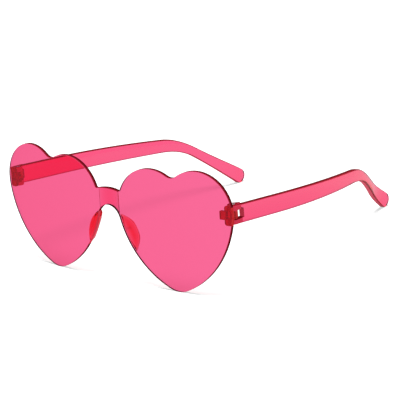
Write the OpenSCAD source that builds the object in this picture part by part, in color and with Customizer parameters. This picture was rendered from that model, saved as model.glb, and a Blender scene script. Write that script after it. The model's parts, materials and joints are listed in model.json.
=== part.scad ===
// Rimless heart-shaped sunglasses: one domed sheet, two nose pads, two end pieces and two folding temples.
// They stand on the tips of the hearts and of the temples. The wearer looks along -Y, so left is +X.

/* [Sheet] */
// Overall width of the front
front_w = 142; // [132:1:152]
// Thickness of the sheet
sheet_t = 1.8; // [1.4:0.1:2.4]
// Radius of the dome that the sheet is pressed to
dome_r = 450; // [350:10:900]
// Height at which the dome stands furthest forward
dome_z = 21.5; // [15:0.5:30]

/* [Hearts] */
// Narrowest gap between the two hearts
heart_gap = 12.3; // [10:0.1:15]
// Radius of the outer lobe
outer_lobe_r = 18.8; // [17:0.1:20]
// Height of the top of the outer lobe
outer_lobe_top = 59.1; // [56:0.1:62]
// Radius of the inner lobe
inner_lobe_r = 20.2; // [18.5:0.1:21.5]
// Height of the top of the inner lobe
inner_lobe_top = 57.5; // [55:0.1:60]
// Radius of the rounded tip
tip_r = 12; // [10:0.1:14]
// Distance of the tip from the middle of the front
tip_x = 38.6; // [36:0.1:41]
// Radius of the flank on the temple side
outer_flank_r = 47.5; // [40:0.5:60]
// Radius of the flank on the nose side
inner_flank_r = 48; // [40:0.5:60]
// Radius of the notch between the lobes
notch_r = 5.2; // [3.5:0.1:7]

/* [Bridge] */
// Height of the top of the bridge
bridge_top = 45.2; // [43:0.1:47]
// Radius of the bridge's arched upper edge
bridge_arch_r = 32.5; // [25:0.5:50]
// Radius of the corners between the bridge and the hearts
bridge_corner_r = 0.9; // [0.5:0.1:1.5]
// Height of the centre of the nose arch
nose_arch_z = 30; // [28:0.1:32]
// Width of the thick middle of the bridge
bridge_core_w = 12; // [8:0.1:12]
// How far the thick middle stands out at the back
bridge_core_t = 0.9; // [0.6:0.1:1.5]
// How far the thick middle stands out at its two sides
bridge_core_side_t = 0.4; // [0.2:0.05:0.5]

/* [Nose pads] */
// Length of a pad along the edge of the heart
pad_l = 20; // [16:0.5:22]
// Depth of a pad behind the sheet
pad_depth = 4.4; // [3:0.1:6]
// Width of a pad where it is bonded to the sheet
pad_root_w = 4.2; // [3.5:0.1:5]
// Width of a pad at its two ends
pad_end_w = 0.8; // [0.5:0.1:1.5]
// Width of a pad's rim
pad_rim_w = 1.5; // [1:0.1:2]
// Angle at which the pads spread towards the face
pad_spread = 27; // [15:1:32]
// Height of the middle of a pad
pad_z = 24.4; // [22:0.1:26]

/* [Hinges] */
// Height of the middle of the hinge
hinge_z = 39.8; // [38:0.1:42]
// Distance of the hinge axis in from the side of the front
hinge_inset = 3; // [2.6:0.1:3.6]
// Distance of the hinge axis behind the back of the sheet
hinge_back = 3.3; // [3.1:0.1:4]
// Radius of the knuckles
knuckle_r = 2.1; // [1.9:0.1:2.3]
// Height of the hinge from ear to ear
hinge_h = 9.3; // [8.6:0.1:10]
// Height of the middle knuckle
tongue_h = 4.1; // [3.4:0.1:4.6]
// Width of the neck that carries the middle knuckle
tongue_neck_w = 3.8; // [3:0.1:4]
// Length of the slot behind the hinge axis
slot_l = 3.9; // [3.5:0.1:6]
// Width of the inboard tab
tab_w = 2.6; // [1.5:0.1:3.5]

/* [Hinge screws] */
// Radius of the shank
screw_r = 0.7; // [0.5:0.05:0.8]
// Radius of the head
screw_head_r = 1.2; // [1:0.05:1.4]
// Height of the head
screw_head_h = 0.7; // [0.5:0.05:1]
// Width of the driver slot
screw_slot_w = 0.3; // [0.2:0.05:0.4]

/* [Temples] */
// Length of the straight front run
temple_run_l = 29; // [15:1:45]
// Radius of the inward bow behind the straight run
temple_bow_r = 280; // [240:5:340]
// Thickness of the temple
temple_t = 2.8; // [2.4:0.1:3.2]
// Radius of the temple's long edges
temple_edge_r = 0.8; // [0.4:0.1:1.1]
// Downward slope of the front run
temple_slope = 6; // [4:0.5:8]
// Distance from the hinge axis to the start of the bend
bend_l = 96; // [89:1:102]
// Distance from there to the centre of the ear tip
hook_l = 45.5; // [44:0.5:50]
// Radius of the bend over the ear
bend_r = 41; // [35:1:46]
// Length over which the temple turns in more tightly from the start of the bend
tuck_l = 30; // [24:1:34]
// Radius of that inward turn in plan
tuck_r = 150; // [120:5:280]
// Radius in plan of the outward turn that follows, up to the ear tip
splay_r = 44; // [40:1:90]
// Height of the temple at the hinge
temple_h = 8.9; // [8.2:0.1:9.3]
// Height of the temple halfway to the bend
temple_mid_h = 8.5; // [7.6:0.1:9.2]
// Height of the temple where the bend starts
temple_bend_h = 6.8; // [6:0.1:8]
// Height of the temple where the bend ends
temple_neck_h = 5; // [4.6:0.1:6.5]
// Height of the paddle at the ear tip
paddle_h = 7.6; // [7:0.1:8.6]

/* [Hidden] */

// How far a cut runs past what it cuts
overrun = 1;
// Running clearance round the screw's shank
screw_clearance = 0.05;
// Gap between the middle knuckle and each ear
ear_clearance = 0.1;
// Gap between an end piece and the temple's front face
stop_clearance = 0.3;
// Distance of a pad from the edge of the heart
pad_margin = 0.3;
// Distance of an end piece from the side of the front
end_piece_margin = 0.7;
// Thickness of the bond between an end piece and the sheet
bond_t = 0.04;
// How far an end piece's inner side lies outboard of the knuckle
end_piece_lip = 0.3;
// Radius of the lower corners of an end piece
end_piece_corner_r = 1.2;
// Radius of the tab's corners
tab_corner_r = 0.4;

dome_arc_facets = 2880;
dome_turn_facets = 360;
pad_facets = 720;
small_facets = 64;

sheet_tint = [0.98, 0.3, 0.55];
moulding_tint = [0.9, 0.16, 0.34];
temple_tint = [0.97, 0.28, 0.45];
screw_tint = [0.75, 0.76, 0.78];

// Outline of one heart, seen from the back, in width and height
outer_lobe = [front_w / 2 - outer_lobe_r, outer_lobe_top - outer_lobe_r];
inner_lobe = [heart_gap / 2 + inner_lobe_r, inner_lobe_top - inner_lobe_r];
tip = [tip_x, tip_r];

function towards(a, b) = (b - a) / norm(b - a);

// Centre of the big circle that wraps two circles, on the given side of the line between them
function wrap_centre(c1, r1, c2, r2, big_r, side) =
    let (
        l = norm(c2 - c1),
        e = towards(c1, c2),
        n = side * [-e[1], e[0]],
        x = (pow(big_r - r1, 2) - pow(big_r - r2, 2) + l * l) / (2 * l)
    )
    c1 + e * x + n * sqrt(pow(big_r - r1, 2) - x * x);

// Centre of the fillet circle that touches two circles from between them, on the given side
function fillet_centre(c1, r1, c2, r2, small_r, side) =
    let (
        l = norm(c2 - c1),
        e = towards(c1, c2),
        n = side * [-e[1], e[0]],
        x = (pow(small_r + r1, 2) - pow(small_r + r2, 2) + l * l) / (2 * l)
    )
    c1 + e * x + n * sqrt(pow(small_r + r1, 2) - x * x);

outer_flank = wrap_centre(outer_lobe, outer_lobe_r, tip, tip_r, outer_flank_r, -1);
inner_flank = wrap_centre(inner_lobe, inner_lobe_r, tip, tip_r, inner_flank_r, 1);
nose_arch_r = norm([inner_lobe[0], inner_lobe[1] - nose_arch_z]) - inner_lobe_r;
nose_arch = [0, nose_arch_z];
bridge_arch = [0, bridge_top - bridge_arch_r];
notch = fillet_centre(inner_lobe, inner_lobe_r, outer_lobe, outer_lobe_r, notch_r, 1);
bridge_corner = fillet_centre(inner_lobe, inner_lobe_r, bridge_arch, bridge_arch_r, bridge_corner_r, -1);

function heading(v) = atan2(v[1], v[0]);

// Points along an arc, from one heading to another, turning by less than a full circle the given way round
arc_step = 5;
function arc(centre, r, from, to, way) =
    let (
        a = heading(from),
        sweep = (way * (heading(to) - a) + 720) % 360,
        steps = max(2, ceil(sweep / arc_step))
    )
    [for (k = [0 : steps]) let (t = a + way * sweep * k / steps) centre + r * [cos(t), sin(t)]];

// One half of the front's outline, from the top of the bridge round the heart to the top of the nose arch
half_outline = concat(
    arc(bridge_arch, bridge_arch_r, [0, 1], bridge_corner - bridge_arch, -1),
    arc(bridge_corner, bridge_corner_r, bridge_arch - bridge_corner, inner_lobe - bridge_corner, 1),
    arc(inner_lobe, inner_lobe_r, bridge_corner - inner_lobe, notch - inner_lobe, -1),
    arc(notch, notch_r, inner_lobe - notch, outer_lobe - notch, 1),
    arc(outer_lobe, outer_lobe_r, notch - outer_lobe, outer_lobe - outer_flank, -1),
    arc(outer_flank, outer_flank_r, outer_lobe - outer_flank, tip - outer_flank, -1),
    arc(tip, tip_r, tip - outer_flank, tip - inner_flank, -1),
    arc(inner_flank, inner_flank_r, tip - inner_flank, inner_lobe - inner_flank, -1),
    arc(inner_lobe, inner_lobe_r, inner_lobe - inner_flank, nose_arch - inner_lobe, -1),
    arc(nose_arch, nose_arch_r, inner_lobe - nose_arch, [0, 1], 1)
);

// The same points on the other side, in the opposite order, without those on the middle line
function mirrored(points) = [for (i = [len(points) - 2 : -1 : 1]) [-points[i][0], points[i][1]]];

// Depth of the dome's front and back faces behind its foremost point, at a distance from its axis
function dome_front(d) = dome_r - sqrt(dome_r * dome_r - d * d);
function dome_back(d) = dome_r - sqrt(pow(dome_r - sheet_t, 2) - d * d);

hinge_x = front_w / 2 - hinge_inset;
hinge_y = dome_back(norm([hinge_x, hinge_z - dome_z])) + hinge_back;
hinge_top = hinge_z + hinge_h / 2;
plate_y = hinge_y - knuckle_r - stop_clearance;
slot_h = tongue_h + 2 * ear_clearance;

// Path of the temple. In plan it runs straight, bows in, tucks in behind the bend and splays out at the tip.
// In height it slopes down, bends over the ear and ends in a straight hook.
temple_x = front_w / 2 - temple_t / 2;
temple_l = bend_l + hook_l;
bend_z = hinge_z - bend_l * tan(temple_slope);
hook_reach = hook_l + bend_r * sin(temple_slope);
hook_rise = bend_r * cos(temple_slope) - bend_z + paddle_h / 2;
hook_slope = asin(bend_r / norm([hook_reach, hook_rise])) - atan2(hook_rise, hook_reach);
bend_end_l = bend_l + bend_r * (sin(hook_slope) - sin(temple_slope));
bend_end_z = bend_z - bend_r * (cos(temple_slope) - cos(hook_slope));
ear_tip_r = paddle_h / 2;

function arc_turn(l, r) = l / r * 180 / PI;
function swing(r, from, to) = r * [cos(to) - cos(from), sin(to) - sin(from)];
tuck_end_l = bend_l + tuck_l;
bow_end_turn = arc_turn(bend_l - temple_run_l, temple_bow_r);
tuck_end_turn = bow_end_turn + arc_turn(tuck_l, tuck_r);
function plan_turn(s) =
    s < bend_l ? arc_turn(max(0, s - temple_run_l), temple_bow_r) :
    s < tuck_end_l ? bow_end_turn + arc_turn(s - bend_l, tuck_r) :
    tuck_end_turn - arc_turn(s - tuck_end_l, splay_r);
bow_end = [temple_x, hinge_y + temple_run_l] + swing(temple_bow_r, 0, bow_end_turn);
tuck_end = bow_end + swing(tuck_r, bow_end_turn, tuck_end_turn);
function plan_at(s) =
    s < bend_l ? [temple_x, hinge_y + min(s, temple_run_l)] + swing(temple_bow_r, 0, plan_turn(s)) :
    s < tuck_end_l ? bow_end + swing(tuck_r, bow_end_turn, plan_turn(s)) :
    tuck_end - swing(splay_r, tuck_end_turn, plan_turn(s));

function slope_at(s) =
    s < bend_l ? temple_slope :
    s > bend_end_l ? hook_slope :
    asin(sin(temple_slope) + (s - bend_l) / bend_r);
function height_at(s) =
    s < bend_l ? hinge_z - s * tan(temple_slope) :
    s > bend_end_l ? bend_end_z - (s - bend_end_l) * tan(hook_slope) :
    bend_z - bend_r * (cos(temple_slope) - cos(slope_at(s)));
function path_at(s) = concat(plan_at(s), height_at(s));

// Height of the temple's section along the path, on a smooth curve through the named heights
height_stations = [0, bend_l / 2, bend_l, bend_end_l, temple_l];
station_heights = [temple_h, temple_mid_h, temple_bend_h, temple_neck_h, paddle_h];
function station_slope(i) =
    let (a = max(i - 1, 0), b = min(i + 1, len(height_stations) - 1))
    (station_heights[b] - station_heights[a]) / (height_stations[b] - height_stations[a]);
function station_before(s) =
    max([for (i = [0 : len(height_stations) - 2]) if (i == 0 || height_stations[i] <= s) i]);
function curve(a, b, slope_a, slope_b, w, u) =
    a * (2 * pow(u, 3) - 3 * u * u + 1) + b * (3 * u * u - 2 * pow(u, 3))
    + slope_a * w * (pow(u, 3) - 2 * u * u + u) + slope_b * w * (pow(u, 3) - u * u);
function section_h(s) =
    let (
        i = station_before(s),
        w = height_stations[i + 1] - height_stations[i],
        u = min(1, max(0, (s - height_stations[i]) / w))
    )
    curve(station_heights[i], station_heights[i + 1], station_slope(i), station_slope(i + 1), w, u);

// One ring of the sweep: a rectangle with round corners, square to the path
corner_steps = 4;
function section(h, t) =
    let (r = min(temple_edge_r, h / 2, t / 2))
    [for (c = [[1, 1, 0], [-1, 1, 90], [-1, -1, 180], [1, -1, 270]], k = [0 : corner_steps])
        let (a = c[2] + 90 * k / corner_steps)
        [c[0] * (t / 2 - r) + r * cos(a), c[1] * (h / 2 - r) + r * sin(a)]];
function ring(s, h, t) =
    let (
        turn = plan_turn(s),
        slope = slope_at(s),
        side = [cos(turn), sin(turn), 0],
        along = [-sin(turn), cos(turn), 0],
        up = along * sin(slope) + [0, 0, cos(slope)],
        centre = path_at(s)
    )
    [for (p = section(h, t)) centre + side * p[0] + up * p[1]];

temple_start = -knuckle_r - temple_h * tan(temple_slope);
body_rings = 56;
tip_rings = 9;
tip_sweep = 80;
// Share of the thickness that the rim of the ear tip keeps
tip_thickness_share = 0.55;
temple_rings = concat(
    [for (k = [0 : body_rings])
        let (s = temple_start + (temple_l - temple_start) * k / body_rings)
        ring(s, section_h(s), temple_t)],
    [for (k = [1 : tip_rings])
        let (
            a = tip_sweep * k / tip_rings,
            s = temple_l + ear_tip_r * sin(a) * cos(hook_slope),
            thinning = 1 - (1 - tip_thickness_share) * (1 - sqrt(1 - pow(sin(a), 4)))
        )
        ring(s, paddle_h * cos(a), temple_t * thinning)]
);

// The glasses are centred from front to back on the plane y = 0
front_face_y = dome_front(norm(inner_flank - [0, dome_z]) - inner_flank_r);
rear_face_y = max([for (r = temple_rings, p = r) p[1]]);
middle_y = (front_face_y + rear_face_y) / 2;

module centred() {
    translate([0, -middle_y, 0])
        children();
}

// Runs a drawing of width and height from one depth to another
module between(y_front, y_back) {
    translate([0, y_back, 0])
        rotate([90, 0, 0])
            linear_extrude(y_back - y_front)
                children();
}

// The front of the dome's ball, down to a flat back behind everything that meets the sheet
module dome(inset) {
    translate([0, dome_r, dome_z])
        rotate([90, 0, 0])
            rotate_extrude($fn = dome_turn_facets)
                intersection() {
                    circle(dome_r - inset, $fn = dome_arc_facets);
                    translate([0, dome_r - 2 * hinge_y])
                        square([front_w, 2 * hinge_y]);
                }
}

module front_outline() {
    polygon(concat(half_outline, mirrored(half_outline)));
}

// The thick middle of the bridge runs down between the hearts with a rounded back
module bridge_core() {
    mid_z = (bridge_top + nose_arch_z + nose_arch_r) / 2;
    rise = bridge_core_t - bridge_core_side_t;
    core_r = (pow(bridge_core_w / 2, 2) + rise * rise) / (2 * rise);
    intersection() {
        translate([-bridge_core_w / 2, -overrun, nose_arch_z])
            cube([bridge_core_w, hinge_y, bridge_top]);
        translate([0, dome_back(mid_z - dome_z) + bridge_core_t, mid_z])
            rotate([-asin((mid_z - dome_z) / (dome_r - sheet_t)), 0, 0])
                translate([0, -core_r, -bridge_top])
                    cylinder(r = core_r, h = 2 * bridge_top, $fn = pad_facets);
    }
}

module lens_shield() {
    color(sheet_tint)
        difference() {
            intersection() {
                between(-overrun, hinge_y)
                    front_outline();
                dome(0);
            }
            difference() {
                dome(sheet_t);
                bridge_core();
            }
        }
}

// Pieces that come in pairs are drawn for the wearer's left, and this makes them for the right
module on_right() {
    mirror([1, 0, 0])
        children();
}

// The outline of a rectangle with round corners
function round_rect(centre, w, h, r) = concat(
    arc(centre + [w / 2 - r, h / 2 - r], r, [1, 0], [0, 1], 1),
    arc(centre + [r - w / 2, h / 2 - r], r, [0, 1], [-1, 0], 1),
    arc(centre + [r - w / 2, r - h / 2], r, [-1, 0], [0, -1], 1),
    arc(centre + [w / 2 - r, r - h / 2], r, [0, -1], [1, 0], 1)
);

// A fin on the back of the sheet, which follows the edge of the heart and spreads towards the face
module nose_pad() {
    mid = [inner_flank[0] - sqrt(pow(inner_flank_r, 2) - pow(pad_z - inner_flank[1], 2)), pad_z];
    root_y = dome_back(norm(mid - [0, dome_z]));
    inward = heading(inner_flank - mid);
    lean = pad_depth * tan(pad_spread);
    profile_r = (pow(pad_l / 2, 2) + pad_depth * pad_depth) / (2 * pad_depth);
    taper = pad_root_w - pad_end_w;
    foot_r = (pow(pad_l / 2, 2) + taper * taper) / (2 * taper);
    reach = lean + max(pad_rim_w, pad_root_w) + 2 * overrun;
    color(moulding_tint)
        intersection() {
            translate([mid[0], root_y, mid[1]])
                rotate([0, -inward, 0])
                    intersection() {
                        translate([0, 0, -pad_l / 2])
                            linear_extrude(pad_l)
                                polygon([
                                    [0, -sheet_t], [0, 0], [lean, pad_depth],
                                    [lean + pad_rim_w, pad_depth], [pad_root_w, 0], [pad_root_w, -sheet_t]
                                ]);
                        translate([-overrun, pad_depth - profile_r, 0])
                            rotate([0, 90, 0])
                                cylinder(r = profile_r, h = reach, $fn = pad_facets);
                        translate([pad_root_w - foot_r, -2 * sheet_t, 0])
                            rotate([-90, 0, 0])
                                cylinder(r = foot_r, h = pad_depth + 3 * sheet_t, $fn = pad_facets);
                    }
            between(0, hinge_y)
                translate(inner_flank)
                    circle(inner_flank_r - pad_margin, $fn = pad_facets);
            dome(sheet_t);
        }
}

// Everything behind the flat that lies against the back of the sheet at the hinge
module behind_bond() {
    ball_r = dome_r - sheet_t;
    drift = [hinge_x, hinge_z - dome_z];
    nod = asin(drift[1] / ball_r);
    yaw = asin(drift[0] / (ball_r * cos(nod)));
    translate([hinge_x, dome_back(norm(drift)), hinge_z])
        rotate([-nod, 0, yaw])
            translate([-2 * hinge_h, bond_t, -2 * hinge_h])
                cube(4 * hinge_h);
}

// A moulding on the back of the sheet: a plate, an inboard tab and the hinge's middle knuckle
module end_piece() {
    plate_in = hinge_x - knuckle_r + end_piece_lip;
    plate_out = front_w / 2 - end_piece_margin;
    plate_w = plate_out - plate_in;
    plate_middle = [plate_in + plate_w / 2, hinge_z];
    color(moulding_tint)
        difference() {
            intersection() {
                union() {
                    between(0, plate_y) {
                        polygon(round_rect(plate_middle, plate_w, hinge_h, end_piece_corner_r));
                        polygon(round_rect([plate_in, hinge_z], 2 * tab_w, tongue_h, tab_corner_r));
                    }
                    translate([hinge_x - tongue_neck_w / 2, 0, hinge_z - tongue_h / 2])
                        cube([tongue_neck_w, hinge_y, tongue_h]);
                    translate([hinge_x, hinge_y, hinge_z - tongue_h / 2])
                        cylinder(r = knuckle_r, h = tongue_h, $fn = small_facets);
                }
                behind_bond();
            }
            translate([hinge_x, hinge_y, hinge_z - tongue_h / 2 - overrun])
                cylinder(r = screw_r + screw_clearance, h = tongue_h + 2 * overrun, $fn = small_facets);
        }
}

// The sweep of the temple's rings, closed at both ends
module temple_sweep() {
    n = len(temple_rings[0]);
    last = len(temple_rings) - 1;
    polyhedron(
        points = [for (r = temple_rings, p = r) p],
        faces = concat(
            [[for (i = [n - 1 : -1 : 0]) i]],
            [for (k = [0 : last - 1], i = [0 : n - 1]) [k * n + i, k * n + (i + 1) % n, (k + 1) * n + i]],
            [for (k = [0 : last - 1], i = [0 : n - 1])
                [k * n + (i + 1) % n, (k + 1) * n + (i + 1) % n, (k + 1) * n + i]],
            [[for (i = [0 : n - 1]) last * n + i]]
        )
    );
}

// The ears' outline in plan: a round knuckle that runs back into the inner side of the temple
module ear_plan() {
    root = [temple_x - temple_t / 2 - hinge_x + temple_edge_r, slot_l];
    reach = norm(root);
    touch = heading(root) + acos(knuckle_r / reach);
    circle(knuckle_r, $fn = small_facets);
    polygon([[0, 0], knuckle_r * [cos(touch), sin(touch)], root, [root[0], 0]]);
}

// The slot between the ears and the cut in front of them are wider than the hinge and as long as its fork
module temple() {
    fork_in = hinge_x - knuckle_r - overrun;
    fork_w = 2 * (knuckle_r + hinge_inset);
    fork_l = 2 * (knuckle_r + slot_l);
    color(temple_tint)
        difference() {
            union() {
                temple_sweep();
                translate([hinge_x, hinge_y, hinge_z - hinge_h / 2])
                    linear_extrude(hinge_h)
                        ear_plan();
            }
            translate([fork_in, hinge_y + slot_l - fork_l, hinge_z - slot_h / 2])
                cube([fork_w, fork_l, slot_h]);
            translate([fork_in, hinge_y - knuckle_r - fork_l, hinge_z - hinge_h])
                cube([fork_w, fork_l, 2 * hinge_h]);
            translate([hinge_x, hinge_y, hinge_z - hinge_h])
                cylinder(r = screw_r, h = 2 * hinge_h, $fn = small_facets);
            translate([hinge_x, hinge_y, hinge_top - screw_head_h])
                cylinder(r = screw_head_r, h = hinge_h, $fn = small_facets);
        }
}

// A slotted screw down through both ears and the middle knuckle, with its head flush with the upper ear
module hinge_screw() {
    color(screw_tint)
        difference() {
            translate([hinge_x, hinge_y, 0]) {
                translate([0, 0, hinge_z - hinge_h / 2])
                    cylinder(r = screw_r, h = hinge_h - screw_head_h / 2, $fn = small_facets);
                translate([0, 0, hinge_top - screw_head_h])
                    cylinder(r = screw_head_r, h = screw_head_h, $fn = small_facets);
            }
            translate([hinge_x - screw_slot_w / 2, hinge_y - slot_l / 2, hinge_top - screw_head_h / 2])
                cube([screw_slot_w, slot_l, screw_head_h]);
        }
}

centred() lens_shield();
centred() nose_pad();  // nose_pad_left
centred() on_right() nose_pad();  // nose_pad_right
centred() end_piece();  // end_piece_left
centred() on_right() end_piece();  // end_piece_right
centred() temple();  // temple_left
centred() on_right() temple();  // temple_right
centred() hinge_screw();  // hinge_screw_left
centred() on_right() hinge_screw();  // hinge_screw_right
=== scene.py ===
"""Heart shaped sunglasses in clear pink plastic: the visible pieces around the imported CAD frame.

Sizes are in millimetres in the frame's own axes: +X to the wearer's left, +Y back along the temples, +Z up.
"""

import json
import logging
from collections.abc import Callable, Iterable
from dataclasses import dataclass, field
from enum import Enum
from math import asin, atan2, ceil, cos, hypot, pi, radians, sin, sqrt, tan

import bmesh
import bpy
import numpy as np
from mathutils import Matrix, Vector


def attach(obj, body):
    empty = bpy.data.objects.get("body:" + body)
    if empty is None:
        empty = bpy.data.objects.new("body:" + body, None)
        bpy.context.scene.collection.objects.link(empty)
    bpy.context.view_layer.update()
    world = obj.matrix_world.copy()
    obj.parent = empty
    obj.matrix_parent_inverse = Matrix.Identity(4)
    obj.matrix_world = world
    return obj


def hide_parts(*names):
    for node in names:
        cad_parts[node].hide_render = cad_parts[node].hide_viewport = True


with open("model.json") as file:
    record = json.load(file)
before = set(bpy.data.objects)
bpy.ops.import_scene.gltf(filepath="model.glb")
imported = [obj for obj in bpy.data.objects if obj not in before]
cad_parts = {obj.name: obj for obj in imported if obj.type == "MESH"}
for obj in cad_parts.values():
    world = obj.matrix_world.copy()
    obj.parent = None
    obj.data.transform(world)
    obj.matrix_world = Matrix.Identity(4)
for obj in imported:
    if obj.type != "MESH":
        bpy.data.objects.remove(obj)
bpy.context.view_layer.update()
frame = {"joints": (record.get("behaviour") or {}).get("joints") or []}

# Metres in a millimetre, and the lengths in millimetres below which two points are one and an edge is none.
MM = 0.001
WELD = 1e-4
SLIVER = 1e-5

# The bend from which two faces meet in a sharp edge, and how far a cutting tool reaches past what it cuts.
SHARP_ANGLE = radians(38)
OVERHANG = 1.0

# The turns at which a rounded edge is laid, coarse and fine, and the fewest steps in an arc of an outline.
QUARTER = np.radians([0, 30, 60, 90])
FINE_QUARTER = np.radians([15, 30, 45, 60, 75, 90])
LEAST_STEPS = 6

# The usual range of a noise pattern.
NOISE_RANGE = (0.3, 0.7)

log = logging.getLogger("sunglasses")

# What may feed a node's input, what gives a face's depth at x and z, and a turned solid's radii and heights.
Point = tuple[float, float, float]
Colour = tuple[float, float, float]
Socket = bpy.types.NodeSocket
Feed = float | Colour | Socket | bpy.types.Node
Depth = Callable[[np.ndarray, np.ndarray], np.ndarray]
Profile = Iterable[tuple[float | np.ndarray, float]]


class Side(Enum):
    """The wearer's left or right, as the sign of X."""

    LEFT = 1
    RIGHT = -1

    @property
    def word(self) -> str:
        """The side's name as it ends the names of nodes."""
        return self.name.lower()


class Cut(Enum):
    """What a boolean step does with its tool."""

    JOIN = "UNION"
    REMOVE = "DIFFERENCE"


class Area(Enum):
    """The areas of a piece's surface that have a material of their own: clear faces, and edges in painted
    light and shade.
    """

    CLEAR = "the see-through faces"
    CUT = "the sheet's cut edge"
    # Painted light: the edge at the core and at the right nose pad is painted pale pink.
    BONDED = "the cut edge at the thick core and at the right nose pad"
    # Painted light: the edge in front of the left end piece is painted red.
    BACKED = "the cut edge in front of the left end piece"
    # Painted shade and light: the arm's narrow sides and fork are dark on top and paler where they slope or
    # look down.
    RIM = "the narrow sides of an arm"
    FORK = "the forked end of an arm"


class Wiring:
    """The node tree of a material or of the world, built node by node."""

    def __init__(self, owner: bpy.types.Material | bpy.types.World) -> None:
        """Empties the owner's node tree.

        Args:
            owner: the material or the world whose tree is filled.
        """
        owner.use_nodes = True
        self.tree = owner.node_tree
        self.tree.nodes.clear()

    def node(self, kind: str, inputs: dict[str | int, Feed] | None = None, **settings: str) -> bpy.types.Node:
        """Adds one node.

        Args:
            kind: Blender's name of the node's type.
            inputs: what each input gets: a number, a colour, another node's output or the node itself.
            settings: attributes of the node.

        Returns:
            The new node.
        """
        made = self.tree.nodes.new(kind)
        for name, value in settings.items():
            setattr(made, name, value)
        for place, feed in (inputs or {}).items():
            target = made.inputs[place]
            source = feed.outputs[0] if isinstance(feed, bpy.types.Node) else feed
            if isinstance(source, Socket):
                self.tree.links.new(source, target)
            else:
                target.default_value = (*source, 1.0) if target.type == "RGBA" else source
        return made

    def coordinates(self, which: str) -> Socket:
        """Gives the object's own coordinates of a place, "Object", or of the way it looks, "Normal"."""
        return self.node("ShaderNodeTexCoord").outputs[which]

    def part(self, which: str, axis: str) -> Socket:
        """Gives the X, Y or Z of one of the coordinates."""
        return self.node("ShaderNodeSeparateXYZ", {0: self.coordinates(which)}).outputs[axis]

    def math(self, operation: str, *values: Socket) -> Socket:
        """Works one value out of one or two others."""
        return self.node("ShaderNodeMath", dict(enumerate(values)), operation=operation).outputs[0]

    def noise(self, scale: float, detail: float) -> Socket:
        """Gives a noise pattern.

        Args:
            scale: cells in a metre.
            detail: finer layers of noise.

        Returns:
            The pattern's value.
        """
        feeds = {"Vector": self.coordinates("Object"), "Scale": scale, "Detail": detail}
        return self.node("ShaderNodeTexNoise", feeds).outputs["Fac"]

    def mapped(
        self, value: Socket, before: tuple[float, float], after: tuple[float, float] = (0.0, 1.0)
    ) -> Socket:
        """Maps one range of a value to another.

        Args:
            value: the value.
            before: the two ends of its range.
            after: the results at these ends.

        Returns:
            The mapped value, which never passes the two results.
        """
        ends = zip(("From Min", "From Max", "To Min", "To Max"), (*before, *after))
        return self.node("ShaderNodeMapRange", {"Value": value, **dict(ends)}).outputs["Result"]

    def spread(self, pattern: Socket, low: float = 0.0, high: float = 1.0) -> Socket:
        """Maps a noise pattern's usual range to the range from low to high."""
        return self.mapped(pattern, NOISE_RANGE, (low, high))

    def blend(self, share: Socket, first: Feed, second: Feed) -> Socket:
        """Chooses between two levels or two colours.

        Args:
            share: 0 for the first and 1 for the second.
            first: a number, a colour or another choice.
            second: the same.

        Returns:
            The level or the colour.
        """
        kind = "RGBA" if tuple in (type(first), type(second)) else "FLOAT"
        made = self.node("ShaderNodeMix", {"Factor": share, "A": first, "B": second}, data_type=kind)
        return made.outputs["Result"]

    def bumps(self, pattern: Socket, size: float, strength: float) -> Socket:
        """Turns a pattern into the bumps of a surface.

        Args:
            pattern: the pattern of the bumps.
            size: their height.
            strength: how much of that height shows.

        Returns:
            The surface's normal.
        """
        feeds = {"Height": pattern, "Distance": size * MM, "Strength": strength}
        return self.node("ShaderNodeBump", feeds).outputs["Normal"]


@dataclass(frozen=True)
class ClearPlastic:
    """A moulded see-through plastic that is tinted in its depth.

    Attributes:
        slot: the record's material slot.
        tint: colour of light that passes a thin piece.
        deep_tint: colour that a thick piece tends to.
        density: absorption in a metre of the plastic.
        cloud: how much paler the tint is in its pale clouds.
        cloud_scale: clouds in a metre.
        polish: roughness of the smoothest and the dullest places.
        polish_scale: dull places in a metre.
        ripple: height of the moulding's ripple.
        ripple_scale: ripples in a metre.
        bend: index of refraction.
        solid: share of the light that the surface stops.
        shade: colour of light that a lamp sends through it.
    """

    slot: str
    tint: Colour = (1.0, 0.6, 0.88)
    deep_tint: Colour = (0.995, 0.003, 0.32)
    density: float = 730.0
    cloud: float = 0.04
    cloud_scale: float = 15.0
    polish: tuple[float, float] = (0.005, 0.03)
    polish_scale: float = 270.0
    ripple: float = 0.004
    ripple_scale: float = 45.0
    bend: float = 1.585
    solid: float = 0.0
    shade: Colour = (0.5, 0.42, 0.42)

    def material(self) -> bpy.types.Material:
        """Builds the plastic's material.

        Returns:
            Glass with a cloudy tint, uneven polish and a faint ripple, filled with an absorbing volume.
        """
        made = bpy.data.materials.new(self.slot)
        w = Wiring(made)
        pale = tuple(c + (1 - c) * self.cloud for c in self.tint)
        glass = w.node("ShaderNodeBsdfPrincipled", {
            "Transmission Weight": 1 - self.solid,
            "IOR": self.bend,
            "Base Color": w.blend(w.spread(w.noise(self.cloud_scale, detail=2.0)), self.tint, pale),
            "Roughness": w.spread(w.noise(self.polish_scale, detail=4.0), *self.polish),
            "Normal": w.bumps(w.noise(self.ripple_scale, detail=1.0), self.ripple, strength=1.0),
        })
        through = w.node("ShaderNodeBsdfTransparent", {"Color": self.shade})
        shadow = w.node("ShaderNodeLightPath").outputs["Is Shadow Ray"]
        surface = w.node("ShaderNodeMixShader", {0: shadow, 1: glass, 2: through})
        depth = w.node("ShaderNodeVolumeAbsorption", {"Color": self.deep_tint, "Density": self.density})
        w.node("ShaderNodeOutputMaterial", {"Surface": surface, "Volume": depth})
        return made


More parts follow.
